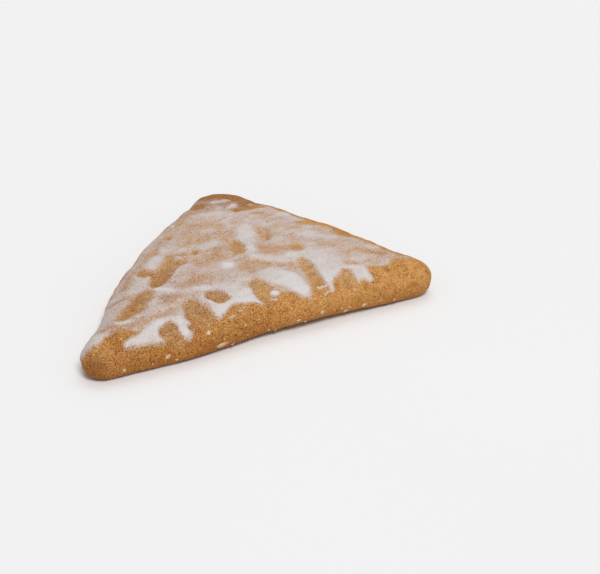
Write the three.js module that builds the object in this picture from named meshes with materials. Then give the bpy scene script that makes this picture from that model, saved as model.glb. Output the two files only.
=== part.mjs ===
// A flat triangular gingerbread, baked in one piece: rounded corners, bullnose sides, a gently
// crowned top with the humps and dents of the baked dough, and a flat underside.
// Millimetres, +Z up. The apex points along -X and the underside lies on Z = 0.

import * as THREE from 'three';
import { ImprovedNoise } from 'three/addons/math/ImprovedNoise.js';

// The plan: an isosceles triangle, measured between the sharp corners that its rounded ones replace
const LONG_SIDE = 131;
const SHORT_SIDE = 104.5;
const AXIS_LENGTH = Math.sqrt(LONG_SIDE ** 2 - (SHORT_SIDE / 2) ** 2);
const INRADIUS = (SHORT_SIDE * AXIS_LENGTH) / (2 * LONG_SIDE + SHORT_SIDE);
const APEX_TO_ORIGIN = 66;

// The section: the sides are fullest at the waist, roll in a little under it and a lot above it
const THICKNESS = 12.8;
const WAIST_HEIGHT = 4.6;
const UNDER_INSET = 2.4;
const SHOULDER_INSET = 6.5;
const SHOULDER_FULLNESS = 2.2;
const CROWN_RISE = 2.6;
const CROWN_SOFTNESS = 3;
const LEAST_EDGE_DISTANCE = 1;
const SHOULDER_RISE = THICKNESS - WAIST_HEIGHT - CROWN_RISE;

// How finely the surface is divided
const TOP_STEP = 1.55;
const SIDE_STEP = 2;
const BASE_STEP = 7;
const SHOULDER_RINGS = 6;
const UNDER_RINGS = 3;

// The corners, and how fast their radius shrinks on the rings further in
const CORNERS = [
  { x: -APEX_TO_ORIGIN, y: 0, radius: 6.5 },
  { x: AXIS_LENGTH - APEX_TO_ORIGIN, y: -SHORT_SIDE / 2, radius: 6.5 },
  { x: AXIS_LENGTH - APEX_TO_ORIGIN, y: SHORT_SIDE / 2, radius: 13 },
];
const RADIUS_SHRINK = 0.7;
const LEAST_RADIUS = 2;
const MOST_RADIUS_SHARE = 0.8;

// The sides in the order of the corners: how far each bows out, its lumps and hollows, and where its
// lower edge lifts off the ground; their places and widths are shares of the side's length
const SIDES = [
  { bow: -0.9, lumps: [{ at: 0.24, wide: 0.14, by: 1.2 }], lifts: [{ at: 0.62, wide: 0.24, by: 1.6 }] },
  { bow: 1.9, lumps: [], lifts: [] },
  {
    bow: 3.2,
    lumps: [
      { at: 0.1, wide: 0.07, by: -0.6 },
      { at: 0.2, wide: 0.05, by: 0.4 },
      { at: 0.34, wide: 0.05, by: 0.5 },
      { at: 0.46, wide: 0.06, by: -0.6 },
      { at: 0.5, wide: 0.2, by: 1.1 },
      { at: 0.82, wide: 0.1, by: -0.7 },
    ],
    lifts: [],
  },
];
const LIFT_REACH = 10;
const END_FADE = 10;

// Where the rim is pinched in by the fold across the rear corner
const PINCH = { x: 34.8, y: 44.5, reach: 7, by: 1.7 };
const PINCH_STEEPNESS = 8;

// The relief of the baked surface: broad humps and finer unevenness
const HUMPS = { height: 0.6, size: 13 };
const UNEVEN = { height: 0.22, size: 5.5 };

// Dents in the top: place, length, width, turn in degrees and depth; their walls are bowl-shaped
const DENTS = [
  { x: -9.7, y: -8, long: 9.5, wide: 8, turn: 38, deep: 1.2 },
  { x: 16.5, y: 6.5, long: 11, wide: 6.5, turn: 45, deep: 1 },
  { x: 7.3, y: 16, long: 6, wide: 4.5, turn: 50, deep: 0.9 },
  { x: -18.8, y: -9.5, long: 14, wide: 9, turn: 98, deep: 0.7 },
  { x: 19.8, y: -21, long: 19, wide: 7, turn: 70, deep: 0.9 },
  { x: 3.2, y: -14, long: 9, wide: 6, turn: 125, deep: 0.9 },
  { x: -32, y: -8, long: 9, wide: 6, turn: 25, deep: 0.5 },
  { x: -29, y: 7.5, long: 22, wide: 6, turn: 15, deep: 0.6 },
  { x: -9, y: 14.5, long: 24, wide: 6.5, turn: 22, deep: 0.7 },
  { x: 28.3, y: -7.5, long: 9, wide: 6, turn: 130, deep: 0.6 },
  { x: 29.5, y: 4.5, long: 7, wide: 4.5, turn: 50, deep: 0.5 },
  { x: 12, y: 31.5, long: 7, wide: 4.5, turn: 20, deep: 0.6 },
  { x: 26, y: -31.5, long: 11, wide: 7, turn: 54, deep: 0.6 },
];
const DENT_WALL = 1.5;

// The fold across the rear corner: the line that it runs along, its valley, the ridge on the valley's
// inner side, and how far the corner droops beyond it
const FOLD_LINE = { fromX: 33, fromY: 42.5, toX: 53, toY: 22.5 };
const FOLD_VALLEY = { wide: 3.5, deep: 0.6 };
const FOLD_RIDGE = { wide: 3, high: 0.35, apart: 4.5 };
const FOLD_DROOP = { deep: 0.4, run: 6 };

const dough = new ImprovedNoise();

// Smooth noise of a given height, with bumps of a given size
function roughness(x, y, z, { height, size }) {
  return height * dough.noise(x / size, y / size, z / size);
}

// The depth of one dent at a point
function dentDepth(x, y, dent) {
  const turn = THREE.MathUtils.degToRad(dent.turn);
  const along = (x - dent.x) * Math.cos(turn) + (y - dent.y) * Math.sin(turn);
  const across = (y - dent.y) * Math.cos(turn) - (x - dent.x) * Math.sin(turn);
  const reach = (along / (dent.long / 2)) ** 2 + (across / (dent.wide / 2)) ** 2;
  return reach < 1 ? dent.deep * (1 - reach) ** DENT_WALL : 0;
}

// How far the fold raises or sinks the top, by the distance from its line towards the middle
function foldHeight(x, y) {
  const { fromX, fromY, toX, toY } = FOLD_LINE;
  const run = new THREE.Vector2(toX - fromX, toY - fromY).normalize();
  const inward = (x - fromX) * run.y - (y - fromY) * run.x;
  const valley = FOLD_VALLEY.deep * Math.exp(-((inward / FOLD_VALLEY.wide) ** 2));
  const ridge = FOLD_RIDGE.high * Math.exp(-(((inward - FOLD_RIDGE.apart) / FOLD_RIDGE.wide) ** 2));
  const droop = FOLD_DROOP.deep * THREE.MathUtils.smoothstep(-inward, 0, FOLD_DROOP.run);
  return ridge - valley - droop;
}

// How far the surface of the dough stands off the smooth loaf at a point
function unevenness(x, y, z) {
  return roughness(x, y, z, HUMPS) + roughness(x, y, z, UNEVEN);
}

// How far the dents and the fold raise or sink the top
function topRelief(x, y) {
  return DENTS.reduce((sum, dent) => sum - dentDepth(x, y, dent), foldHeight(x, y));
}

// The sum of soft bumps at a share of a side's length; they die out at the side's ends
function bumps(list, share) {
  const ends = Math.min(1, END_FADE * share, END_FADE * (1 - share));
  return list.reduce((sum, { at, wide, by }) => sum + ends * by * Math.exp(-(((share - at) / wide) ** 2)), 0);
}

// One side's bulge out of its straight line, at a share of its length
function sideBulge(side, share) {
  return side.bow * Math.sin(Math.PI * share) ** 2 + bumps(side.lumps, share);
}

// How far the pinch draws the rim in at a point
function pinchDepth({ x, y }) {
  const reach = Math.hypot(x - PINCH.x, y - PINCH.y) / PINCH.reach;
  return PINCH.by * Math.exp(-(reach ** PINCH_STEEPNESS));
}

// The rounded triangle at a given inset, as points in order round it
function planRing(inset, step) {
  const ring = [];
  const fade = 1 - inset / INRADIUS;
  const directions = CORNERS.map((corner, i) => {
    const next = CORNERS[(i + 1) % 3];
    return new THREE.Vector2(next.x - corner.x, next.y - corner.y).normalize();
  });
  const arcs = CORNERS.map((corner, i) => {
    const before = directions[(i + 2) % 3];
    const after = directions[i];
    const bisector = after.clone().sub(before).normalize();
    const halfSine = Math.abs(after.cross(bisector));
    const shrunk = Math.max(corner.radius - RADIUS_SHRINK * inset, LEAST_RADIUS);
    const radius = Math.min(shrunk, MOST_RADIUS_SHARE * (INRADIUS - inset));
    const centre = new THREE.Vector2(corner.x, corner.y);
    centre.addScaledVector(bisector, (inset + radius) / halfSine);
    const startAngle = Math.atan2(-before.x, before.y);
    let endAngle = Math.atan2(-after.x, after.y);
    if (endAngle < startAngle) endAngle += 2 * Math.PI;
    return { centre, radius, startAngle, endAngle };
  });
  const arcPoint = (arc, angle) => {
    const out = new THREE.Vector2(Math.cos(angle), Math.sin(angle));
    return { out, point: arc.centre.clone().addScaledVector(out, arc.radius) };
  };
  const pinched = (point, out) => point.addScaledVector(out, -fade * pinchDepth(point));
  arcs.forEach((arc, i) => {
    const turn = arc.endAngle - arc.startAngle;
    const arcCount = Math.max(2, Math.round((turn * arc.radius) / step));
    for (let k = 0; k < arcCount; k += 1) {
      const { out, point } = arcPoint(arc, arc.startAngle + (turn * k) / arcCount);
      ring.push({ point: pinched(point, out), out, lift: 0 });
    }
    const nextArc = arcs[(i + 1) % 3];
    const from = arcPoint(arc, arc.endAngle);
    const to = arcPoint(nextArc, nextArc.startAngle).point;
    const sideCount = Math.max(2, Math.round(from.point.distanceTo(to) / step));
    for (let k = 0; k < sideCount; k += 1) {
      const share = k / sideCount;
      const point = from.point.clone().lerp(to, share);
      point.addScaledVector(from.out, fade * sideBulge(SIDES[i], share));
      const lift = bumps(SIDES[i].lifts, share);
      ring.push({ point: pinched(point, from.out), out: from.out, lift });
    }
  });
  return ring;
}

// How far the crowned top stands over the shoulder: it follows a soft least of the distances
// to the three sides, so that no hips run to the corners
function crownHeight(point) {
  const nearness = CORNERS.reduce((sum, corner, i) => {
    const next = CORNERS[(i + 1) % 3];
    const run = new THREE.Vector2(next.x - corner.x, next.y - corner.y).normalize();
    const distance = run.x * (point.y - corner.y) - run.y * (point.x - corner.x);
    return sum + Math.max(distance, LEAST_EDGE_DISTANCE) ** -CROWN_SOFTNESS;
  }, 0);
  const middle = INRADIUS * 3 ** (-1 / CROWN_SOFTNESS);
  const share = nearness ** (-1 / CROWN_SOFTNESS) / middle;
  return CROWN_RISE * (1 - (1 - share) ** 2);
}

// A ring of the underside's roll, up to the waist
function underRing(inset, height, roughShare) {
  return planRing(inset, SIDE_STEP).map(({ point, out, lift }) => {
    const flat = point.clone().addScaledVector(out, roughShare * unevenness(point.x, point.y, height));
    return new THREE.Vector3(flat.x, flat.y, height + lift * (1 - height / WAIST_HEIGHT));
  });
}

// A ring of the shoulder or the top; lean turns its relief from sideways to upwards
function upperRing(inset, rise, lean, step) {
  return planRing(inset, step).map(({ point, out }) => {
    const height = WAIST_HEIGHT + rise + crownHeight(point) * Math.sin(lean);
    const stand = unevenness(point.x, point.y, height);
    const flat = point.clone().addScaledVector(out, stand * Math.cos(lean));
    const raised = (stand + topRelief(point.x, point.y)) * Math.sin(lean);
    return new THREE.Vector3(flat.x, flat.y, height + raised);
  });
}

// All rings, from the middle of the underside out to the waist and in again over the top
function loafRings() {
  const rings = [];
  for (let inset = INRADIUS - BASE_STEP; inset > LIFT_REACH; inset -= BASE_STEP) {
    rings.push(planRing(inset, BASE_STEP).map(({ point }) => new THREE.Vector3(point.x, point.y, 0)));
  }
  for (let k = UNDER_RINGS; k > 0; k -= 1) {
    const lean = (Math.PI / 2) * (k / UNDER_RINGS);
    const inset = UNDER_INSET * (1 - Math.cos(lean));
    const height = WAIST_HEIGHT * (1 - Math.sin(lean));
    rings.push(underRing(inset, height, Math.cos(lean)));
  }
  for (let k = 0; k < SHOULDER_RINGS; k += 1) {
    const lean = (Math.PI / 2) * (k / SHOULDER_RINGS);
    const inset = SHOULDER_INSET * (1 - Math.cos(lean) ** (2 / SHOULDER_FULLNESS));
    const rise = SHOULDER_RISE * Math.sin(lean) ** (2 / SHOULDER_FULLNESS);
    rings.push(upperRing(inset, rise, lean, SIDE_STEP));
  }
  for (let inset = SHOULDER_INSET; inset < INRADIUS - TOP_STEP / 2; inset += TOP_STEP) {
    rings.push(upperRing(inset, SHOULDER_RISE, Math.PI / 2, TOP_STEP));
  }
  return rings;
}

// A closed mesh over the rings: neighbours are stitched along the shorter diagonals,
// and the first and last ring are closed to a middle point
function stitchRings(rings) {
  const positions = [];
  const triangles = [];
  const starts = rings.map((ring) => {
    const start = positions.length / 3;
    ring.forEach((point) => positions.push(...point.toArray()));
    return start;
  });
  for (let r = 0; r + 1 < rings.length; r += 1) {
    const [lower, upper] = [rings[r], rings[r + 1]];
    const lowerAt = (i) => starts[r] + (i % lower.length);
    const upperAt = (i) => starts[r + 1] + (i % upper.length);
    const gap = (i, j) => lower[i % lower.length].distanceTo(upper[j % upper.length]);
    let i = 0;
    let j = 0;
    while (i < lower.length || j < upper.length) {
      const stepLower = j >= upper.length || (i < lower.length && gap(i + 1, j) <= gap(i, j + 1));
      if (stepLower) {
        triangles.push(lowerAt(i), lowerAt(i + 1), upperAt(j));
        i += 1;
      } else {
        triangles.push(lowerAt(i), upperAt(j + 1), upperAt(j));
        j += 1;
      }
    }
  }
  const closeRing = (r, facingUp) => {
    const ring = rings[r];
    const middle = ring.reduce((sum, point) => sum.add(point), new THREE.Vector3());
    const centre = positions.length / 3;
    positions.push(...middle.divideScalar(ring.length).toArray());
    ring.forEach((_, i) => {
      const here = starts[r] + i;
      const next = starts[r] + ((i + 1) % ring.length);
      triangles.push(...(facingUp ? [here, next, centre] : [next, here, centre]));
    });
  };
  closeRing(0, false);
  closeRing(rings.length - 1, true);
  const geometry = new THREE.BufferGeometry();
  geometry.setAttribute('position', new THREE.Float32BufferAttribute(positions, 3));
  geometry.setIndex(triangles);
  return geometry;
}

// Move the loaf so that its bounding box is centred over the origin
function centreInPlan(geometry) {
  geometry.computeBoundingBox();
  const middle = geometry.boundingBox.getCenter(new THREE.Vector3());
  geometry.translate(-middle.x, -middle.y, 0);
  geometry.computeVertexNormals();
  return geometry;
}

const crust = new THREE.MeshStandardMaterial({ color: 0xae7a44, roughness: 0.85, metalness: 0 });
const gingerbread = new THREE.Mesh(centreInPlan(stitchRings(loafRings())), crust);
gingerbread.name = 'gingerbread';

const lebkuchen = new THREE.Group();
lebkuchen.add(gingerbread);

export default lebkuchen;
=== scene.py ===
import math
import random

import bmesh
import bpy
import numpy as np
from mathutils import Matrix, Vector, noise
from mathutils.bvhtree import BVHTree


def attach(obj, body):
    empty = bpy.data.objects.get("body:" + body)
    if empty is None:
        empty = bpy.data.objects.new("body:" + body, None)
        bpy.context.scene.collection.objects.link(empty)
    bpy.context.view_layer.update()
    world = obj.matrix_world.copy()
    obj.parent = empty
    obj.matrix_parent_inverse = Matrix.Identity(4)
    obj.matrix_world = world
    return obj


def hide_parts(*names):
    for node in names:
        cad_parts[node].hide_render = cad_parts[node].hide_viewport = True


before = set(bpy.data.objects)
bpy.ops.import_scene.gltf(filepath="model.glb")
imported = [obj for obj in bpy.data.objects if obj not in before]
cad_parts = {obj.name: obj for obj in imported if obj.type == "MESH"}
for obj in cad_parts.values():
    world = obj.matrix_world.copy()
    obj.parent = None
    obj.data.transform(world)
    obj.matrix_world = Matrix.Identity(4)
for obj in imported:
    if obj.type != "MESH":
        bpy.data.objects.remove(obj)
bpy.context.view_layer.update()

# The gingerbread: a flat triangle of spiced dough, baked on a sheet. Its crust is dry and matt, with a fine
# grain, small pits and specks of spice, and browner at two corners and underneath. Painted shade darkens it
# low on its sides and, with the browning, on the nose; its wide end is painted paler, partly its own tone
# and partly painted light.
# The solid's relief is kept, its facets are rounded off and the crust's own unevenness is raised on it.
MM = 0.001  # The frame is in metres, and the sizes below are in millimetres.
MERGE_DISTANCE = 0.01
CUTS = 2
FACET_SMOOTHING = {"turns": 2, "share": 0.5}
UNDERSIDE_LEVEL = 0.05
SHEET_FADE = (0.1, 1.2)
FACING_DOWN = -0.9
SHIFT_WAY = (1.0, 1.7, -1.0)  # Which way a shift moves the noise, so that no two kinds of bump agree.
GRAIN = {"size": 1.4, "shift": 0.0, "height": 0.05}
LUMPS = {"size": 3.0, "shift": 4.0, "height": 0.17}
PITS = {"spacing": 3.1, "radius": 0.42, "depth": 0.22, "share": 0.3}
PIT_DRAW = 9.7  # Spreads the cells apart for the draw of the ones that get a pit.
UNDERSIDE_HOLLOWS = {"size": 1.9, "shift": 9.0, "height": 0.12}
WANDER = {"size": 3.6, "height": 0.5}
FINE_WANDER = {"size": 1.2, "height": 0.25}
WANDER_SHIFTS = (55.0, 65.0)
CORNER_CUT = {"turns": 2, "share": 0.25}
NEAR_SIDE = (-0.78, -0.62)
FAR_SINK = 0.4
# The dents and bare places with a clear edge: how far each one sinks, how soft its edge is,
# and its corners in plan.
DENTS = (
    (0.40, 1.3, ((-38.6, 5.4), (-38, 7.4), (-35.2, 8), (-32.6, 8.8), (-29.4, 10.4), (-25.6, 11.3),
                 (-22.6, 11.9), (-20.2, 11.2), (-19.4, 8.4), (-21.4, 6.2), (-23.6, 5.2), (-26, 5.2),
                 (-29, 3.6), (-31.6, 2.9), (-33.4, 3.8), (-37.6, 3.9))),
    (0.50, 0.9, ((-18.6, 10.6), (-17, 13.4), (-13.6, 15), (-12, 17), (-13.4, 19.2), (-11.4, 20.6),
                 (-9.4, 18), (-6.6, 18.2), (-2.6, 19.8), (0, 23), (2, 21.6), (0.8, 18.6), (-0.6, 17),
                 (2.2, 15), (1.2, 12.2), (-3, 13), (-6, 12.2), (-10.1, 10.6), (-13.6, 9.4), (-17, 8.8))),
    (0.40, 0.9, ((-13.9, 21.6), (-11.4, 22.8), (-9.4, 22), (-9.8, 19), (-12.4, 17.4), (-14.7, 18.4))),
    (0.40, 0.7, ((2.4, 19.2), (5.2, 18), (4.6, 16), (2.6, 16.8))),
    (0.40, 0.9, ((7.7, 17.7), (9, 15.4), (8.2, 14.2), (5.6, 13.4), (5, 15.4))),
    (0.35, 1.0, ((10.5, 34), (12.8, 32.5), (12.2, 29.4), (9.4, 28.6))),
    (0.55, 0.7, ((-11.8, -5.5), (-10.2, -4), (-8, -4.5), (-6.7, -7.6), (-6.8, -10), (-7.4, -12.2),
                 (-9.4, -12.7), (-11.5, -12.6), (-12.9, -11.5), (-13.1, -9.6), (-12.6, -7.5))),
    (0.15, 1.2, ((-21, -3.9), (-18.4, -3.4), (-16.2, -4.2), (-15.5, -5.9), (-16, -9), (-17.3, -13),
                 (-17.4, -17), (-25.4, -14.5), (-24.4, -11), (-23.6, -8.4), (-22.5, -5.9))),
    (0.20, 0.8, ((-30.4, -12.4), (-29.2, -9.4), (-28.5, -6.6), (-30.4, -5.8), (-33, -6.2), (-35, -7.4),
                 (-35.6, -9), (-34.6, -11), (-33, -15.5), (-31.4, -15))),
    (0.20, 0.8, ((2.2, -10.2), (5.2, -11), (6.8, -13.4), (6, -16.4), (4.6, -19), (3, -22), (-2.4, -22),
                 (-2.4, -18.4), (-0.8, -15.6), (0.6, -12.6))),
    (0.30, 1.1, ((23, -13), (25.6, -13.7), (25, -17.2), (22.2, -21.4), (19.8, -25.5), (17.8, -28.3),
                 (15.8, -29.2), (15.2, -27.2), (17.6, -22.9), (20.2, -18))),
    (0.15, 0.9, ((21.6, -29.3), (26, -27.8), (28.5, -27.6), (29.6, -29.2), (28.4, -31.8), (26.8, -34.4),
                 (23, -37))),
    (0.40, 0.8, ((29.8, 4.8), (29.6, 2.6), (27.6, 1.6), (27, 2.6))),
    (0.35, 0.8, ((17, 9.5), (19.5, 11), (21.3, 10.4), (21.4, 8.6), (19, 5), (16.4, 2), (14.6, 2.8),
                 (13.8, 5))),
    (0.50, 0.45, ((-27.5, -12.5), (-26.7, -11.5), (-25.5, -12), (-25.4, -13), (-26.3, -13.6),
                  (-27.3, -13.3))),
)
# The crust's colours, in 0 to 255 as a screen shows them. A shade sets in where a value reaches its start
# and grows to its share where the value is full.
BROWN_CRUST = (169, 110, 53)
GOLDEN_CRUST = (186, 131, 72)
PATCHES = {"size": 14.0, "detail": 3.0}
PATCH_EDGE = {"low": 0.35, "high": 0.65}
# The wide end is painted paler: partly the crust's own tone, partly painted light along its front shoulder.
PALE_AND_LIT_WIDE_END = {"start": -30.0, "full": 30.0, "share": 0.65, "shade": (208, 152, 86)}
MOTTLING = {"size": 2.3, "detail": 4.0}
DARK_MOTTLE = {"start": 0.48, "full": 0.68, "share": 0.55, "shade": (158, 98, 46)}
PALE_MOTTLE = {"start": 0.46, "full": 0.3, "share": 0.5, "shade": (204, 152, 88)}
# The nose is browner from the bake, and it is also painted darker as painted shade.
NOSE = (-54.8, -1.2, 4.2)
BROWNED_AND_SHADED_NOSE = {"start": 6.5, "full": 1.5, "share": 0.58, "shade": (128, 80, 48)}
# Painted shade: the sides are darkened towards the bottom, where shade falls near the floor.
SHADED_LOW_SIDES = {"start": 9.5, "full": 2.0, "share": 0.54, "shade": (163, 99, 30)}
REAR_CORNER = (47.0, 40.0, 8.0)
BROWNED_REAR = {"start": 26.0, "full": 12.0, "share": 0.8, "shade": (154, 100, 55)}
BROWNED_UNDERSIDE = {"start": 1.4, "full": 0.1, "share": 0.75, "shade": (142, 88, 46)}
FINE_GRAIN = {"size": 0.4, "detail": 3.0}
GRAIN_CONTRAST = {"low": -40.0, "high": 40.0, "start": 1.05, "end": 0.68}
LIT_GRAIN = {"low": 0.5, "high": 0.68}
LIT_TINT = (1.42, 1.66, 1.98)
DARK_GRAIN = {"low": 0.5, "high": 0.32}
DARK_TINT = (0.42, 0.33, 0.27)
SPECK_CORE = 0.5
SPECKS = (
    {"spacing": 2.4, "radius": 0.3, "share": 0.35, "strength": 0.55, "shade": (222, 180, 116)},
    {"spacing": 2.2, "radius": 0.42, "share": 0.45, "strength": 0.8, "shade": (84, 52, 32)},
    {"spacing": 1.3, "radius": 0.26, "share": 0.3, "strength": 0.6, "shade": (100, 60, 34)},
)
CRUST_ROUGHNESS = {"low": 0.3, "high": 0.7, "start": 0.92, "end": 0.74}
CRUST_RELIEF = {"grain": 0.1, "mottle": 0.22}
CRUST_SHINE = 0.25
CRUST_BUMP = 0.8


def soft_step(low, high, value):
    """0 up to low, 1 from high on, and a smooth rise between them."""
    share = np.clip((value - low) / (high - low), 0.0, 1.0)
    return share * share * (3.0 - 2.0 * share)


def noise_at(points, size, shift, height):
    """Smooth bumps of a size and height, at points in millimetres."""
    start = Vector([shift * part for part in SHIFT_WAY])
    return height * np.array([noise.noise(Vector(point) / size + start) for point in points])


def pits_at(points, spacing, radius, depth, share):
    """Depth of the small round pits, which only a share of the crust's cells has."""
    depths = np.zeros(len(points))
    for index, point in enumerate(points):
        distances, centres = noise.voronoi(Vector(point) / spacing)
        if noise.cell(centres[0] * PIT_DRAW) < share:
            depths[index] = depth * max(0.0, 1.0 - (distances[0] * spacing / radius) ** 2)
    return depths


def wandering(points, size, height):
    """Points pushed about in plan, so that the painted edges wander."""
    moved = points.copy()
    for axis, shift in enumerate(WANDER_SHIFTS):
        moved[:, axis] += noise_at(points, size, shift, height)
    return moved


def distance_to_path(points, path):
    """Plan distance from a path of one or more places."""
    places = np.array(path, float)
    nearest = np.hypot(*(points[:, :2] - places[0]).T)
    for start, end in zip(places[:-1], places[1:]):
        step = end - start
        share = np.clip((points[:, :2] - start) @ step / (step @ step), 0.0, 1.0)
        nearest = np.minimum(nearest, np.hypot(*(points[:, :2] - start - share[:, None] * step).T))
    return nearest


def rounded(outline):
    """A closed outline with its corners cut in turns, so that it runs in curves."""
    places = np.array(outline, float)
    near = CORNER_CUT["share"]
    far = 1.0 - near
    for turn in range(CORNER_CUT["turns"]):
        ahead = np.roll(places, -1, axis=0)
        cut_corners = (far * places + near * ahead, near * places + far * ahead)
        places = np.stack(cut_corners, axis=1).reshape(-1, 2)
    return np.vstack((places, places[:1]))


def inside_outline(points, outline):
    """Plan distance in from a closed outline, negative outside it."""
    places = rounded(outline)
    nearest = distance_to_path(points, places)
    inside = np.zeros(len(points), bool)
    for start, end in zip(places[:-1], places[1:]):
        passing = (points[:, 1] < start[1]) != (points[:, 1] < end[1])
        slope = (end[0] - start[0]) / ((end[1] - start[1]) or 1.0)
        inside ^= passing & (points[:, 0] < start[0] + (points[:, 1] - start[1]) * slope)
    return np.where(inside, nearest, -nearest)


def nearness(points, outline):
    """From 0 at the far side of an outline to 1 at its near side, as the front left corner sees it."""
    corners = np.array(outline, float) @ NEAR_SIDE
    return soft_step(corners.min(), corners.max(), points[:, :2] @ NEAR_SIDE)


def piece_from(bm, name, material):
    """A smooth-shaded object at the origin, made from a finished bmesh."""
    mesh = bpy.data.meshes.new(name)
    bm.to_mesh(mesh)
    mesh.shade_smooth()
    mesh.materials.append(material)
    piece = bpy.data.objects.new(name, mesh)
    bpy.context.scene.collection.objects.link(piece)
    return piece


def tone(red, green, blue):
    """A colour in 0 to 255, as a screen shows it, in linear values with full cover."""
    return tuple(((part / 255 + 0.055) / 1.055) ** 2.4 for part in (red, green, blue)) + (1.0,)


def add_node(tree, kind, inputs, **settings):
    """A shader node with its settings; each input takes a fixed value or another node's output."""
    made = tree.nodes.new("ShaderNode" + kind)
    for name, setting in settings.items():
        setattr(made, name, setting)
    for socket, value in inputs.items():
        if isinstance(value, bpy.types.NodeSocket):
            tree.links.new(value, made.inputs[socket])
        else:
            made.inputs[socket].default_value = value
    return made


def add_millimetres(tree, place):
    """A place in metres, in millimetres."""
    return add_node(tree, "VectorMath", {0: place, "Scale": 1.0 / MM}, operation="SCALE").outputs[0]


def add_distance(tree, place, spot):
    """How far a place is from a spot."""
    return add_node(tree, "VectorMath", {0: place, 1: spot}, operation="DISTANCE").outputs[1]


def add_noise(tree, place, size, detail):
    """Noise from 0 to 1 with bumps of about a size in millimetres."""
    return add_node(tree, "TexNoise", {"Vector": place, "Scale": 1.0 / size, "Detail": detail}).outputs[0]


def add_ramp(tree, value, low, high, start=0.0, end=1.0):
    """A smooth rise from start to end as the value goes from low to high."""
    inputs = {"Value": value, "From Min": low, "From Max": high, "To Min": start, "To Max": end}
    return add_node(tree, "MapRange", inputs, interpolation_type="SMOOTHSTEP").outputs[0]


def add_sum(tree, way, first, second):
    """One sum of two values."""
    return add_node(tree, "Math", {0: first, 1: second}, operation=way).outputs[0]


def add_blend(tree, share, under, over):
    """One colour laid over another by a share."""
    return add_node(tree, "Mix", {0: share, 6: under, 7: over}, data_type="RGBA").outputs[2]


def add_shade(tree, colour, value, start, full, share, shade):
    """A shade laid over a colour: none where a value is at its start, and its share where it is full."""
    return add_blend(tree, add_ramp(tree, value, start, full, 0.0, share), colour, tone(*shade))


def add_tint(tree, colour, parts):
    """A colour with its red, green and blue each made stronger or weaker."""
    return add_node(tree, "VectorMath", {0: colour, 1: parts}, operation="MULTIPLY").outputs[0]


def add_specks(tree, place, spacing, radius, share):
    """A mask of small round specks, which only a share of the cells has."""
    cells = add_node(tree, "TexVoronoi", {"Vector": place, "Scale": 1.0 / spacing})
    spot = add_ramp(tree, cells.outputs["Distance"], radius / spacing, SPECK_CORE * radius / spacing)
    drawn = add_node(tree, "SeparateColor", {0: cells.outputs["Color"]}).outputs[0]
    return add_sum(tree, "MULTIPLY", spot, add_sum(tree, "LESS_THAN", drawn, share))


def new_group(name, inputs, outputs):
    """A shader node group with named sockets, its input node and its output node."""
    group = bpy.data.node_groups.new(name, "ShaderNodeTree")
    for socket, kind in inputs.items():
        group.interface.new_socket(socket, in_out="INPUT", socket_type="NodeSocket" + kind)
    for socket, kind in outputs.items():
        group.interface.new_socket(socket, in_out="OUTPUT", socket_type="NodeSocket" + kind)
    return group, group.nodes.new("NodeGroupInput").outputs, group.nodes.new("NodeGroupOutput").inputs


def baked_crust_group():
    """The crust's colour, roughness and height in millimetres, for a place in metres."""
    group, given, wanted = new_group(
        "baked crust",
        {"Place": "Vector"},
        {"Color": "Color", "Roughness": "Float", "Height": "Float"},
    )
    place = add_millimetres(group, given["Place"])
    along, _, height = add_node(group, "SeparateXYZ", {0: place}).outputs

    patches = add_ramp(group, add_noise(group, place, **PATCHES), **PATCH_EDGE)
    colour = add_blend(group, patches, tone(*BROWN_CRUST), tone(*GOLDEN_CRUST))
    # The wide end painted paler, partly its own tone and partly painted light.
    colour = add_shade(group, colour, along, **PALE_AND_LIT_WIDE_END)
    mottle = add_noise(group, place, **MOTTLING)
    colour = add_shade(group, colour, mottle, **DARK_MOTTLE)
    colour = add_shade(group, colour, mottle, **PALE_MOTTLE)
    # The nose browned by the bake and painted darker still with painted shade.
    colour = add_shade(group, colour, add_distance(group, place, NOSE), **BROWNED_AND_SHADED_NOSE)
    # Painted shade low on the sides.
    colour = add_shade(group, colour, height, **SHADED_LOW_SIDES)
    colour = add_shade(group, colour, add_distance(group, place, REAR_CORNER), **BROWNED_REAR)
    colour = add_shade(group, colour, height, **BROWNED_UNDERSIDE)

    grain = add_noise(group, place, **FINE_GRAIN)
    contrast = add_ramp(group, along, **GRAIN_CONTRAST)
    lit = add_tint(group, colour, LIT_TINT)
    dark = add_tint(group, colour, DARK_TINT)
    colour = add_blend(group, add_ramp(group, grain, **LIT_GRAIN, end=contrast), colour, lit)
    colour = add_blend(group, add_ramp(group, grain, **DARK_GRAIN, end=contrast), colour, dark)
    for speck in SPECKS:
        mask = add_specks(group, place, speck["spacing"], speck["radius"], speck["share"])
        cover = add_sum(group, "MULTIPLY", mask, speck["strength"])
        colour = add_blend(group, cover, colour, tone(*speck["shade"]))
    group.links.new(colour, wanted["Color"])
    group.links.new(add_ramp(group, grain, **CRUST_ROUGHNESS), wanted["Roughness"])

    rough = add_sum(group, "MULTIPLY", grain, CRUST_RELIEF["grain"])
    coarse = add_sum(group, "MULTIPLY", mottle, CRUST_RELIEF["mottle"])
    group.links.new(add_sum(group, "ADD", rough, coarse), wanted["Height"])
    return group


def start_material(name):
    """A material with its node tree, its shader and the place of the surface in metres."""
    material = bpy.data.materials.new(name)
    material.use_nodes = True
    tree = material.node_tree
    place = tree.nodes.new("ShaderNodeTexCoord").outputs["Object"]
    return material, tree, tree.nodes["Principled BSDF"], place


def raise_surface(tree, shader, height, strength):
    """Bump on a shader, from a height in millimetres."""
    bump = add_node(tree, "Bump", {"Height": height, "Distance": MM, "Strength": strength})
    tree.links.new(bump.outputs[0], shader.inputs["Normal"])


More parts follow.
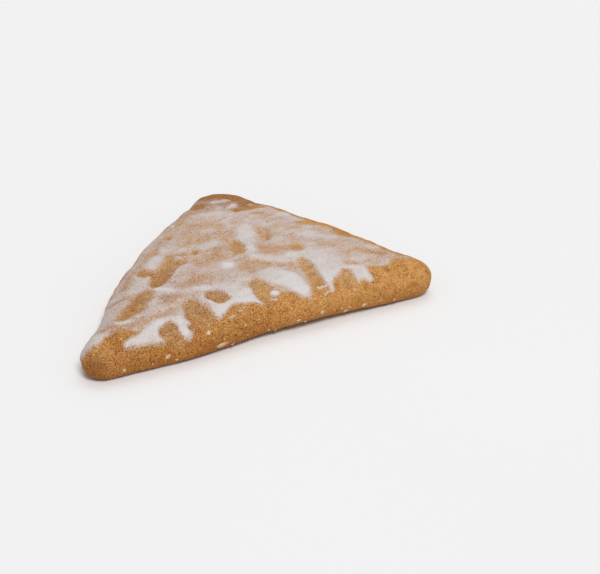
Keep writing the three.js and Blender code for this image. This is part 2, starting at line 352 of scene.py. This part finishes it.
crust_bm = bmesh.new()
crust_bm.from_mesh(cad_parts["gingerbread"].data)
bmesh.ops.remove_doubles(crust_bm, verts=crust_bm.verts[:], dist=MERGE_DISTANCE * MM)
for cut in range(CUTS):
    bmesh.ops.subdivide_edges(crust_bm, edges=crust_bm.edges[:], cuts=1, use_grid_fill=True)
    above = [vert for vert in crust_bm.verts if vert.co.z > UNDERSIDE_LEVEL * MM]
    for turn in range(FACET_SMOOTHING["turns"]):
        bmesh.ops.smooth_vert(
            crust_bm,
            verts=above,
            factor=FACET_SMOOTHING["share"],
            use_axis_x=True,
            use_axis_y=True,
            use_axis_z=True,
        )
bmesh.ops.triangulate(crust_bm, faces=crust_bm.faces[:])
crust_bm.normal_update()
smooth_points = np.array([vert.co[:] for vert in crust_bm.verts]) / MM
normals = np.array([vert.normal[:] for vert in crust_bm.verts])
above_sheet = soft_step(*SHEET_FADE, smooth_points[:, 2])
unevenness = noise_at(smooth_points, **GRAIN) + noise_at(smooth_points, **LUMPS)
unevenness -= pits_at(smooth_points, **PITS)
wandered = wandering(wandering(smooth_points, **WANDER), **FINE_WANDER)
dent_shares = [
    soft_step(-softness, softness, inside_outline(wandered, outline)) for _, softness, outline in DENTS
]
dent_scoops = [nearness(wandered, outline) for _, _, outline in DENTS]
for (sink, _, _), share, scoop in zip(DENTS, dent_shares, dent_scoops):
    unevenness -= sink * share * (FAR_SINK + (1.0 - FAR_SINK) * scoop) * (normals[:, 2] > 0.0)
unevenness *= above_sheet
hollows = np.abs(noise_at(smooth_points, **UNDERSIDE_HOLLOWS)) * (1.0 - above_sheet)
crust_points = smooth_points + normals * unevenness[:, None]
crust_points[:, 2] += hollows * (normals[:, 2] < FACING_DOWN)
for vert, point in zip(crust_bm.verts, crust_points):
    vert.co = Vector(point) * MM
crust_bm.normal_update()

baked_crust = baked_crust_group()
crust_material, tree, shader, place = start_material("baked crust")
crust_look = add_node(tree, "Group", {"Place": place}, node_tree=baked_crust).outputs
tree.links.new(crust_look["Color"], shader.inputs["Base Color"])
tree.links.new(crust_look["Roughness"], shader.inputs["Roughness"])
shader.inputs["Specular IOR Level"].default_value = CRUST_SHINE
raise_surface(tree, shader, crust_look["Height"], CRUST_BUMP)

gingerbread = piece_from(crust_bm, "baked_gingerbread", crust_material)
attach(gingerbread, "root")
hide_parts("gingerbread")

# Chopped nuts in the dough: pale chips and flakes that came to the surface low on the sides and baked in.
# Each is a flattened, uneven lump pressed into the crust, with less than half of its thickness showing.
# The large ones are placed one by one along the front side, and small ones are scattered round all the
# sides.
SHOWN_CHIPS = (
    {"at": (-19.0, -18.8, 2.9), "length": 4.6, "width": 1.7, "turn": 5},
    {"at": (-22.8, -16.5, 8.2), "length": 1.6, "width": 1.3, "turn": 40},
    {"at": (20.6, -34.6, 2.5), "length": 1.8, "width": 1.0, "turn": 20},
    {"at": (21.6, -35.4, 3.8), "length": 1.5, "width": 1.0, "turn": -30},
    {"at": (26.4, -37.8, 3.2), "length": 2.2, "width": 1.1, "turn": 15},
    {"at": (5.2, -28.6, 4.1), "length": 1.8, "width": 0.7, "turn": 0},
    {"at": (-35.9, -12.0, 4.2), "length": 2.0, "width": 1.3, "turn": 25},
    {"at": (24.2, -35.2, 8.7), "length": 1.7, "width": 1.2, "turn": 30},
    {"at": (12.7, -31.9, 4.8), "length": 1.7, "width": 1.3, "turn": 20},
    {"at": (31.3, -40.3, 3.4), "length": 1.8, "width": 0.8, "turn": 10},
)
SCATTERED_CHIPS = 46
SCATTER_SIZE = (0.4, 1.3)
SCATTER_HEIGHT = (1.6, 7.5)
SCATTER_SLENDERNESS = (0.45, 0.9)
SCATTER_TURN = (-40, 40)
SCATTER_START = 90.0
CHIP_THICKNESS = 0.7
CHIP_SHOWING = 0.42
CHIP_LUMPS = {"fineness": 2.1, "height": 0.45}
CHIP_SEED = 12
GOLDEN_NUT = (202, 152, 92)
PALE_NUT = (222, 200, 172)
NUT_PATCHES = {"size": 2.5, "detail": 2.0}
NUT_FLECKS = {"size": 0.4, "detail": 2.0}
FLECK_EDGE = {"low": 0.5, "high": 0.75, "start": 0.0, "end": 0.6}
FLECK_SHADE = (178, 124, 66)
NUT_ROUGHNESS = {"low": 0.0, "high": 0.6, "start": 0.55, "end": 0.75}
NUT_RELIEF = 0.12
NUT_BUMP = 0.8


def add_chip(bm, crust_tree, at, length, width, turn):
    """One chip on the crust nearest to a place, its length turned from level by degrees."""
    spot, normal, _, _ = crust_tree.find_nearest(Vector(at) * MM)
    made = bmesh.ops.create_icosphere(bm, subdivisions=2, radius=0.5)["verts"]
    for vert in made:
        vert.co *= 1.0 + CHIP_LUMPS["height"] * noise.noise(vert.co * CHIP_LUMPS["fineness"] + Vector(at))
    across = normal.cross(Vector((0.0, 0.0, 1.0))).normalized()
    stand = Matrix((across, normal.cross(across), normal)).transposed().to_4x4()
    spin = Matrix.Rotation(math.radians(turn), 4, "Z")
    size = Matrix.Diagonal((length * MM, width * MM, CHIP_THICKNESS * MM, 1.0))
    sink = Matrix.Translation(spot - normal * (0.5 - CHIP_SHOWING) * CHIP_THICKNESS * MM)
    bmesh.ops.transform(bm, matrix=sink @ stand @ spin @ size, verts=made)


crust_tree = BVHTree.FromBMesh(crust_bm)
chips_bm = bmesh.new()
for chip in SHOWN_CHIPS:
    add_chip(chips_bm, crust_tree, **chip)
draw = random.Random(CHIP_SEED)
for index in range(SCATTERED_CHIPS):
    way = math.tau * (index + draw.random()) / SCATTERED_CHIPS
    height = draw.uniform(*SCATTER_HEIGHT)
    outside = Vector((SCATTER_START * math.cos(way), SCATTER_START * math.sin(way), height))
    inward = Vector((-math.cos(way), -math.sin(way), 0.0))
    spot = crust_tree.ray_cast(outside * MM, inward)[0]
    length = draw.uniform(*SCATTER_SIZE)
    width = length * draw.uniform(*SCATTER_SLENDERNESS)
    turn = draw.uniform(*SCATTER_TURN)
    add_chip(chips_bm, crust_tree, spot / MM, length, width, turn)
bmesh.ops.recalc_face_normals(chips_bm, faces=chips_bm.faces[:])

chip_material, tree, shader, place = start_material("pale nut")
place = add_millimetres(tree, place)
patches = add_ramp(tree, add_noise(tree, place, **NUT_PATCHES), **PATCH_EDGE)
nut_colour = add_blend(tree, patches, tone(*GOLDEN_NUT), tone(*PALE_NUT))
fleck = add_ramp(tree, add_noise(tree, place, **NUT_FLECKS), **FLECK_EDGE)
nut_colour = add_blend(tree, fleck, nut_colour, tone(*FLECK_SHADE))
tree.links.new(nut_colour, shader.inputs["Base Color"])
tree.links.new(add_ramp(tree, fleck, **NUT_ROUGHNESS), shader.inputs["Roughness"])
raise_surface(tree, shader, add_sum(tree, "MULTIPLY", fleck, NUT_RELIEF), NUT_BUMP)

chips = piece_from(chips_bm, "nut_chips", chip_material)
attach(chips, "root")

# The sugar glaze: sugar boiled with water and brushed over the top while the biscuit was warm. It dried to
# a thin, half see-through film with brush streaks, ran into whiter pools and lobes, and broke open over the
# dents and along the front shoulder, where the crust is bare. It is a thin shell that grips the crust.
FILM = 0.46
# The film left in the dents, at their far side and at their near side. It thins towards the near side so
# that the floor there is painted darker, as painted shade.
DENT_FILM_SHADED_NEAR = (0.13, 0.05)
STREAKS = {"length": 12.0, "width": 1.8, "height": 0.13}
STREAK_TURNS = (26.0, -12.0)
STREAK_CHANGE = (-14.0, 12.0)
CLOUDS = {"size": 5.0, "shift": 21.0, "height": 0.18}
MOTTLES = {"size": 1.7, "shift": 33.0, "height": 0.1}
DRIFT_SHARE = 0.9
RIMS = (
    {"from": (-50.0, -5.2), "to": (46.0, -46.5), "bare": 7.0},
    {"from": (46.0, -46.5), "to": (46.0, 46.5), "bare": -2.0},
    {"from": (46.0, 46.5), "to": (-50.0, 5.2), "bare": -6.0},
)
RIM_WAVER = {"size": 6.0, "shift": 45.0, "height": 3.0}
RIM_FADE = 2.0
LOWEST_GLAZE = (4.0, 5.5)
STROKE_EDGE = 1.4
DEEPEST = 1.2
GLAZE_THICKNESS = 0.5
CALMING = 0.5
EDGE_SINK = 0.04
EDGE_DEPTH = 0.08
BARE_DEPTH = 0.02
FEWEST_FACES = 14
SHELL = 0.2
# The glaze's colours, and how its cover, its break-up by the crust's grain and its gloss follow its depth.
FILM_TONE = (198, 179, 170)
POOL_TONE = (216, 213, 213)
SOAKED_TINT = (0.95, 1.04, 1.20)
SOAKED_EDGE = {"low": 0.02, "high": 0.1}
SPECKLE = {"size": 0.44, "detail": 4.0}
SPECKLE_MIDDLE = 0.5
BREAK_UP = {"low": 1.0, "high": 0.3, "start": 0.8, "end": 1.9}
EDGE_BREAK_UP = {"low": 0.08, "high": 0.25, "start": 0.4, "end": 1.0}
FILM_COVER = {"low": 0.02, "high": 0.6, "start": 0.0, "end": 0.95}
POOL_COVER = {"low": 0.44, "high": 1.08}
GLAZE_ROUGHNESS = {"low": 0.0, "high": 0.6, "start": 0.8, "end": 0.5}
GLAZE_SHINE = 0.35
CRUST_FELT = {"low": 0.0, "high": 0.9, "start": 1.0, "end": 0.25}
GLAZE_BUMP = 0.7
# Where the film is thinner or thicker than elsewhere, in the order of painting, later over earlier.
# A stroke has its depth, the softness of its edge against its width, its width, and its path in plan.
# An outline has its depth, the softness of its edge in millimetres, and its corners in plan.
FILM_STROKES = (
    (0.55, 0.8, 5.0, ((-44, 8), (-30, 15.5), (-18, 21))),
    (0.20, 0.9, 5.2, ((11.4, -3), (15, -7))),
    (0.20, 0.9, 5.0, ((21, -0.5), (26, -7))),
    (0.18, 0.8, 5.0, ((30.8, 8), (28.8, 3.5))),
    (0.20, 0.9, 4.5, ((-7.5, 2.5), (-3, 0.5))),
    (0.20, 0.9, 4.8, ((2.5, 9), (8.5, 7.5))),
    (0.28, 0.9, 2.0, ((-31.4, 15.6), (-29.7, 14), (-26, 12.6))),
    (0.22, 0.8, 2.6, ((16.8, -12.3), (19, -14))),
    (0.22, 0.9, 3.2, ((-42, 1), (-34, -1.2))),
    (0.26, 0.9, 6.0, ((13, 24), (18, 19.5))),
    (0.24, 0.9, 3.4, ((10, 21), (15.5, 17.5))),
    (0.22, 0.9, 2.6, ((-9, 23.8), (-2.4, 26.7), (1.9, 27.8))),
    (0.26, 0.9, 5.0, ((17, 34), (24, 35.5), (30, 37))),
    (0.28, 0.9, 4.5, ((22, 17), (24.5, 14.5))),
    (0.30, 0.9, 3.5, ((21, 28), (24, 26))),
    (0.24, 0.9, 3.0, ((-24, 1), (-18, 0))),
    (0.26, 0.9, 3.0, ((-12, 3), (-9, 2))),
    (0.22, 0.9, 2.6, ((-23, 18.5), (-19.8, 19.9), (-16.6, 21.5))),
    (0.72, 0.8, 3.6, ((28, 1), (31, -0.5))),
    (0.74, 0.8, 3.6, ((24, -10.5), (27, -13.5))),
    (0.78, 0.8, 9.0, ((29, -14), (29.5, -19), (29.5, -24))),
    (0.70, 0.9, 3.4, ((11.8, 14.2), (15.6, 14.4))),
    (0.60, 0.9, 4.6, ((28, 32), (30, 29.6), (32.7, 26.6), (36, 21.6), (40, 19.4), (45, 18.2))),
    (0.72, 0.8, 2.0, ((28.5, 31), (32.5, 26.8))),
    (0.30, 0.9, 2.8, ((27.5, 36.5), (30.5, 34.4), (33, 31.6))),
    (0.80, 0.8, 4.4, ((-6.5, 21.8), (-3, 22.8))),
    (0.66, 0.8, 3.2, ((-23.5, 14), (-19, 15.2), (-14, 16.6))),
    (0.82, 0.7, 2.4, ((-18.2, 7.8), (-16.4, 3.4))),
    (0.54, 0.7, 2.2, ((-26, 2.2), (-23.4, 2.8))),
    (0.28, 0.9, 2.4, ((-21.4, 4.2), (-20.2, 0.4))),
    (0.50, 0.9, 2.2, ((-37, 2.1), (-34.7, 2.3), (-31, 1.4), (-25.3, 0.4))),
    (0.28, 0.9, 2.2, ((-38, 0), (-31, -1.6), (-24, -3.6))),
    (0.85, 0.8, 2.4, ((-11, -1.2), (-8, -3.4))),
    (0.80, 0.9, 4.6, ((6.5, 1.3),)),
    (1.15, 0.9, 2.6, ((6.5, 1.3),)),
    (0.62, 0.9, 2.4, ((20, 22.4), (22, 22))),
    (0.58, 0.9, 5.0, ((0, -1.5), (3, -3.5))),
    (0.66, 0.35, 5.0, ((-55, 4.6), (-50, 3.4), (-48.6, 4))),
    (0.26, 0.9, 2.6, ((-46, 4.8), (-43, 3.8))),
    (0.70, 0.6, 4.0, ((40, -4), (43, -12))),
    (0.70, 0.6, 3.5, ((46, 7), (48, 12))),
)
BROAD_POOLS = (
    (0.78, 1.8, ((26, 14.5), (32, 16), (32, 12), (27.5, 7.5), (22, 4), (19, -1), (16, 0.5), (22, 8.5),
                 (22.5, 11.5))),
    (0.76, 1.3, ((16, 0.5), (18.5, -3.5), (22, -11.5), (18.6, -13.6), (16.2, -7.8), (14.6, -1.8))),
    (0.72, 2.0, ((6.4, -11.2), (9, -9.4), (12.6, -9.2), (14.2, -10.8), (14.8, -14.5), (16.6, -19),
                 (12, -20), (6.6, -16.4))),
    (0.70, 1.4, ((-14, -5), (-11, -3), (-7, -4), (-4, -5), (-1.4, -7), (-0.4, -10), (-1, -13),
                 (-8, -13))),
)
BARE_PATCHES = (
    (0.00, 1.4, ((-60, 10), (-55.4, 8.5), (-54.6, 4), (-52.6, 2.2), (-50.5, 0.6), (-47.5, 1.2),
                 (-43.5, 2), (-41, -1), (-44, -8), (-60, -9))),
    (0.18, 1.5, ((-2, 28.2), (0.4, 27.8), (1.8, 25.8), (-1.5, 25.3))),
    (0.10, 1.5, ((31, -25), (34.6, -27), (34, -30), (31.8, -28.4))),
    (0.22, 2.4, ((31, 36), (33, 43), (44, 46), (54, 36), (54, 22), (44, 22), (36, 26), (37, 32))),
    (0.04, 1.2, ((30.3, 36), (31, 40), (35.5, 42), (36, 37.7), (34.8, 34.5), (32.2, 34.4))),
    (0.02, 1.2, ((38.5, 39.5), (42.5, 37.3), (43.8, 33.8), (43.2, 30), (48, 30), (54, 32), (50, 42),
                 (41, 46))),
    (0.05, 0.9, ((36.8, 26.2), (40, 25.7), (43, 23.5), (47, 21), (47.2, 18.8), (43, 20.5), (39.6, 22),
                 (36, 23))),
    (0.04, 1.0, ((40.6, 26.4), (42.2, 23.6), (45, 21.8), (48, 21.2), (54, 22), (53, 29), (45, 29),
                 (43.4, 28))),
    (0.04, 0.6, ((39.2, 19.8), (43.6, 17.5), (43, 16.2), (39.2, 18.2))),
    (0.10, 1.5, ((43, 5), (47, 3), (47, -2), (44, 0))),
    (0.10, 1.8, ((40, -22), (44, -26), (46, -33), (41, -29))),
    (0.10, 1.2, ((28.9, -5.8), (30.8, -5.6), (32.1, -7.1), (31.8, -9.9), (29.4, -10.9), (27, -10.3),
                 (25.8, -8.6))),
    (0.20, 1.3, ((30, 8), (32.2, 7.7), (31.2, 4), (28, 1.4), (26.4, 2.2), (28, 5))),
)
WHITE_LOBES = (
    (0.82, 1.1, ((-46, -4.6), (-45.2, -3.7), (-42.6, -3.9), (-39.6, -4.4), (-36, -3.7), (-33, -3.7),
                 (-28.4, -4), (-26, -6), (-24.9, -8.2), (-25, -10.2), (-25.7, -11.8), (-26.1, -13.2),
                 (-27.4, -13.8), (-28.8, -14.2), (-30, -13.7), (-30.7, -12.4), (-29.6, -10.2),
                 (-28.7, -8), (-28.7, -6.4), (-30.4, -5.9), (-33, -6.3), (-35.4, -7.9), (-34.8, -10.4),
                 (-36.5, -9.9), (-39.8, -7.9), (-42.5, -6.2), (-45.2, -5.3))),
    (0.84, 1.0, ((-14.4, -7.5), (-15, -10.6), (-17, -13), (-18.4, -14.8), (-16.8, -16), (-14.6, -15.4),
                 (-12, -15.2), (-8.7, -15), (-6, -16.8), (-4.2, -18.4), (-2.2, -21.6), (-1.6, -19),
                 (-1.5, -16.8), (0.3, -14.5), (-1, -12), (-8, -11), (-12, -8))),
    (0.88, 1.2, ((8, -14), (13, -13), (16.2, -18.2), (14.6, -24), (13, -27.3), (10.8, -28.6),
                 (8.8, -27.2), (7.8, -23.6), (7.8, -20), (6.4, -17))),
    (0.84, 1.0, ((25.5, -16), (28.5, -20), (29, -26.5), (26, -27.6), (23, -28.8), (21.6, -29.4),
                 (20, -29.7), (18.4, -28.4), (20.2, -25.6), (22.6, -21.4), (25, -17.5))),
    (0.80, 0.9, ((29.8, -27.5), (31.8, -28.4), (33.8, -30.4), (33.2, -33.3), (32.5, -35.4), (31.1, -37.2),
                 (30, -36.6), (29.3, -34.6), (26.7, -35), (27, -33.6), (28.6, -31.6))),
    (0.64, 0.9, ((38, 37.5), (44, 33.8), (43.4, 31.8), (39.2, 32.6), (36.6, 34.4))),
    (0.68, 0.9, ((37.4, 29), (42.2, 29.2), (41.6, 27.2), (39.3, 26.5), (37.2, 27.2))),
    (0.55, 0.9, ((44, 24.6), (45.8, 24), (45.4, 22.8), (43.8, 23.4))),
)
DRIPS = (
    (0.80, 0.5, 1.4, ((20.4, -28.4), (19.1, -30.1), (18.4, -31.2))),
    (0.66, 0.5, 0.8, ((15, -28), (15.9, -28.8), (17.4, -29.2), (19.4, -29.4))),
    (0.50, 0.6, 0.7, ((15.1, -30.9), (16.2, -31), (18.2, -31.1))),
    (1.05, 0.45, 2.0, ((3.1, -20.1),)),
    (1.00, 0.45, 1.6, ((3.9, -20.8),)),
    (0.70, 0.4, 0.75, ((0.8, -21.5), (1.9, -22.2))),
    (0.42, 0.6, 0.65, ((-10.3, -17.6), (-7.7, -17.9))),
    (0.36, 0.6, 0.65, ((-14.6, -17.6), (-12.2, -18))),
    (0.90, 0.4, 1.4, ((18.5, 35.5),)),
    (0.84, 0.5, 1.9, ((-40, 4.6), (-38.6, 2.7), (-37.2, 2.1))),
)


def along_and_across(points, turn):
    """Plan distances along and across a line through the origin, turned by degrees."""
    angle = math.radians(turn)
    along = points[:, 0] * math.cos(angle) + points[:, 1] * math.sin(angle)
    across = points[:, 1] * math.cos(angle) - points[:, 0] * math.sin(angle)
    return along, across


def streaks_at(points, turn, length, width, height):
    """Long narrow streaks left by the brush."""
    along, across = along_and_across(points, turn)
    level = np.full_like(along, turn)
    return noise_at(np.column_stack((along / length, across / width, level)), 1.0, 0.0, height)


def paint(depth, points, strokes):
    """Draws the depth towards each stroke's own, inside the stroke's soft edge."""
    for target, softness, width, path in strokes:
        reach = distance_to_path(points, path) / (0.5 * width)
        spread = STROKE_EDGE * softness
        depth = depth + (target - depth) * soft_step(1.0 + spread, 1.0 - spread, reach)
    return depth


def fill(depth, points, outlines):
    """Draws the depth towards each outline's own, inside the outline's soft edge."""
    for target, softness, outline in outlines:
        depth = depth + (target - depth) * soft_step(-softness, softness, inside_outline(points, outline))
    return depth


def inside_rim(points, rim):
    """Plan distance in from one side of the biscuit, less the strip that the brush left bare there."""
    start, end = np.array(rim["from"]), np.array(rim["to"])
    side = (end - start) / np.linalg.norm(end - start)
    apart = points[:, :2] - start
    return side[0] * apart[:, 1] - side[1] * apart[:, 0] - rim["bare"]


def glaze_depth(points, wandered):
    """How deep the glaze lies: 0 on bare crust, about half as a film and 1 in a thick pool."""
    left, right = (streaks_at(points, turn, **STREAKS) for turn in STREAK_TURNS)
    side = soft_step(*STREAK_CHANGE, points[:, 0])
    streaks = left * (1.0 - side) + right * side
    drift = streaks + noise_at(points, **CLOUDS) + noise_at(points, **MOTTLES)
    depth = FILM + drift
    waver = noise_at(points, **RIM_WAVER)
    for rim in RIMS:
        depth *= soft_step(-0.5 * RIM_FADE, 0.5 * RIM_FADE, inside_rim(points, rim) + waver)
    depth = paint(depth, wandered, FILM_STROKES)
    depth = fill(depth, wandered, BROAD_POOLS)
    depth = np.minimum(depth, fill(depth, wandered, BARE_PATCHES))
    depth = fill(depth, wandered, WHITE_LOBES)
    # The dent floors are painted darker towards their near sides, as painted shade.
    for share, scoop in zip(dent_shares, dent_scoops):
        film = DENT_FILM_SHADED_NEAR[0] + (DENT_FILM_SHADED_NEAR[1] - DENT_FILM_SHADED_NEAR[0]) * scoop
        depth += (film - depth) * share
    depth = paint(depth, wandered, DRIPS)
    depth *= 1.0 + DRIFT_SHARE * drift
    return np.clip(depth, 0.0, DEEPEST) * soft_step(*LOWEST_GLAZE, points[:, 2])


def islands_of(bm):
    """Groups of faces that hang together."""
    left = set(bm.faces)
    while left:
        first = left.pop()
        found, growing = {first}, [first]
        while growing:
            face = growing.pop()
            beside = {near for vert in face.verts for near in vert.link_faces} & left
            left -= beside
            found |= beside
            growing.extend(beside)
        yield found


depths = glaze_depth(smooth_points, wandered)
calmed = unevenness * (1.0 - CALMING * np.minimum(depths, 1.0))
lifts = calmed + GLAZE_THICKNESS * depths - EDGE_SINK * soft_step(EDGE_DEPTH, 0.0, depths)
glaze_points = smooth_points + normals * lifts[:, None]
glaze_bm = crust_bm.copy()
depth_layer = glaze_bm.verts.layers.float.new("depth")
for vert, point, depth in zip(glaze_bm.verts, glaze_points, depths):
    vert.co = Vector(point) * MM
    vert[depth_layer] = depth
bare = [face for face in glaze_bm.faces if all(vert[depth_layer] < BARE_DEPTH for vert in face.verts)]
bmesh.ops.delete(glaze_bm, geom=bare, context="FACES")
scraps = [face for island in islands_of(glaze_bm) if len(island) < FEWEST_FACES for face in island]
bmesh.ops.delete(glaze_bm, geom=scraps, context="FACES")
glaze_bm.normal_update()

glaze_material, tree, shader, place = start_material("sugar glaze")
crust_look = add_node(tree, "Group", {"Place": place}, node_tree=baked_crust).outputs
place = add_millimetres(tree, place)
depth = add_node(tree, "Attribute", {}, attribute_name="depth").outputs["Fac"]
speckle = add_sum(tree, "SUBTRACT", add_noise(tree, place, **SPECKLE), SPECKLE_MIDDLE)
break_up = add_ramp(tree, depth, **BREAK_UP)
break_up = add_sum(tree, "MULTIPLY", break_up, add_ramp(tree, depth, **EDGE_BREAK_UP))
broken = add_sum(tree, "ADD", depth, add_sum(tree, "MULTIPLY", speckle, break_up))
soaked = add_tint(tree, crust_look["Color"], SOAKED_TINT)
colour = add_blend(tree, add_ramp(tree, depth, **SOAKED_EDGE), crust_look["Color"], soaked)
colour = add_blend(tree, add_ramp(tree, broken, **FILM_COVER), colour, tone(*FILM_TONE))
colour = add_blend(tree, add_ramp(tree, broken, **POOL_COVER), colour, tone(*POOL_TONE))
tree.links.new(colour, shader.inputs["Base Color"])
tree.links.new(add_ramp(tree, broken, **GLAZE_ROUGHNESS), shader.inputs["Roughness"])
shader.inputs["Specular IOR Level"].default_value = GLAZE_SHINE
felt = add_sum(tree, "MULTIPLY", crust_look["Height"], add_ramp(tree, depth, **CRUST_FELT))
raise_surface(tree, shader, felt, GLAZE_BUMP)

glaze = piece_from(glaze_bm, "sugar_glaze", glaze_material)
shell = glaze.modifiers.new("shell", "SOLIDIFY")
shell.thickness = SHELL * MM
shell.offset = -1.0
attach(glaze, "root")

# The studio: a wide pale floor, a bright white room round it and two soft lamps high up, one in front and
# one behind, with the camera at the photograph's angle. None of it is part of the biscuit.
FLOOR_SIZE = 4.0  # In metres, as the floor's clouding is.
FLOOR_SQUARES = 4
FLOOR_CLOUDING = {"size": 0.2, "detail": 2.0}
FLOOR_TONES = ((241, 241, 242), (244, 244, 244))
FLOOR_ROUGHNESS = 0.9
FLOOR_SHINE = 0.1
ROOM_TONE = (1.0, 1.0, 1.0, 1.0)
ROOM_BRIGHTNESS = 0.4
LAMPS = (
    {"name": "key lamp", "azimuth": -28.0, "elevation": 58.0, "strength": 1.7, "softness": 25.0},
    {"name": "back lamp", "azimuth": 120.0, "elevation": 60.0, "strength": 0.5, "softness": 40.0},
)
VIEW = {"azimuth": -51.51, "elevation": 29.0, "distance": 537.0, "target": (27.55, -11.1, 0.0)}
LENS = 100.0
SENSOR = 36.0
NEAREST_SEEN = 10.0


def backward(azimuth, elevation):
    """The direction from the biscuit back to a lamp or the camera."""
    turn, rise = math.radians(azimuth), math.radians(elevation)
    return Vector((math.sin(turn) * math.cos(rise), -math.cos(turn) * math.cos(rise), math.sin(rise)))


floor_material, tree, shader, place = start_material("pale floor")
clouding = add_noise(tree, place, **FLOOR_CLOUDING)
floor_colour = add_blend(tree, clouding, *(tone(*parts) for parts in FLOOR_TONES))
tree.links.new(floor_colour, shader.inputs["Base Color"])
shader.inputs["Roughness"].default_value = FLOOR_ROUGHNESS
shader.inputs["Specular IOR Level"].default_value = FLOOR_SHINE
floor_bm = bmesh.new()
bmesh.ops.create_grid(
    floor_bm, x_segments=FLOOR_SQUARES, y_segments=FLOOR_SQUARES, size=0.5 * FLOOR_SIZE
)
piece_from(floor_bm, "floor", floor_material)

room = bpy.data.worlds.new("white room")
room.use_nodes = True
walls = room.node_tree.nodes["Background"].inputs
walls["Color"].default_value = ROOM_TONE
walls["Strength"].default_value = ROOM_BRIGHTNESS
bpy.context.scene.world = room
for lamp in LAMPS:
    light = bpy.data.lights.new(lamp["name"], "SUN")
    light.energy = lamp["strength"]
    light.angle = math.radians(lamp["softness"])
    holder = bpy.data.objects.new(lamp["name"], light)
    holder.rotation_euler = backward(lamp["azimuth"], lamp["elevation"]).to_track_quat("Z", "Y").to_euler()
    bpy.context.scene.collection.objects.link(holder)

camera_data = bpy.data.cameras.new("camera")
camera_data.lens = LENS
camera_data.sensor_width = SENSOR
camera_data.clip_start = NEAREST_SEEN * MM
camera = bpy.data.objects.new("camera", camera_data)
back = backward(VIEW["azimuth"], VIEW["elevation"])
camera.location = (Vector(VIEW["target"]) + back * VIEW["distance"]) * MM
camera.rotation_euler = back.to_track_quat("Z", "Y").to_euler()
bpy.context.scene.collection.objects.link(camera)
bpy.context.scene.camera = camera
bpy.context.scene.view_settings.view_transform = "Standard"
